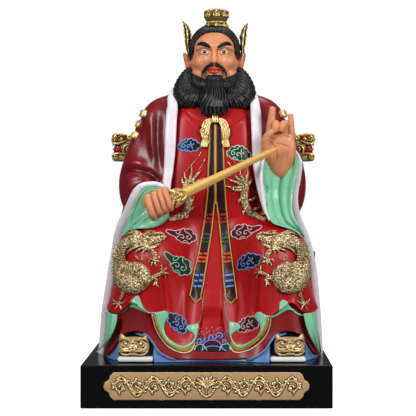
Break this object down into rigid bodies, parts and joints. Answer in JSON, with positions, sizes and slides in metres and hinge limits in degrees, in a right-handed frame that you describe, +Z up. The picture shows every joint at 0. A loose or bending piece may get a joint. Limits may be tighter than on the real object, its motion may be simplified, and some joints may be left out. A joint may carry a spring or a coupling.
{
  "type": "seated deity statue",
  "caption": "Painted resin statue of a seated, bearded deity in dragon robes with a sword and a raised hand, on a dragon-headed chair and a black plinth with a gilt plaque.",
  "frame": {"origin": "middle of the plinth's underside, where the statue stands", "axes": "+Z up, the figure faces -Y, its raised left hand is on the +X side"},
  "size_m": [0.256, 0.2044, 0.422],
  "materials": {
    "robe_paint": "glossy red paint with painted and gilt ornament over cast resin",
    "sword_paint": "satin tan-gold paint over cast resin",
    "chair_lacquer": "black lacquer with gilt dragon heads and red recesses",
    "plinth_lacquer": "smooth glossy black",
    "plaque_gilt": "pale gold paint with dark wash in the relief"
  },
  "bodies": {
    "root": {"figure": "robe_paint", "sword": "sword_paint", "dragon_chair": "chair_lacquer", "plinth": "plinth_lacquer", "plinth_plaque": "plaque_gilt"}
  },
  "joints": []
}
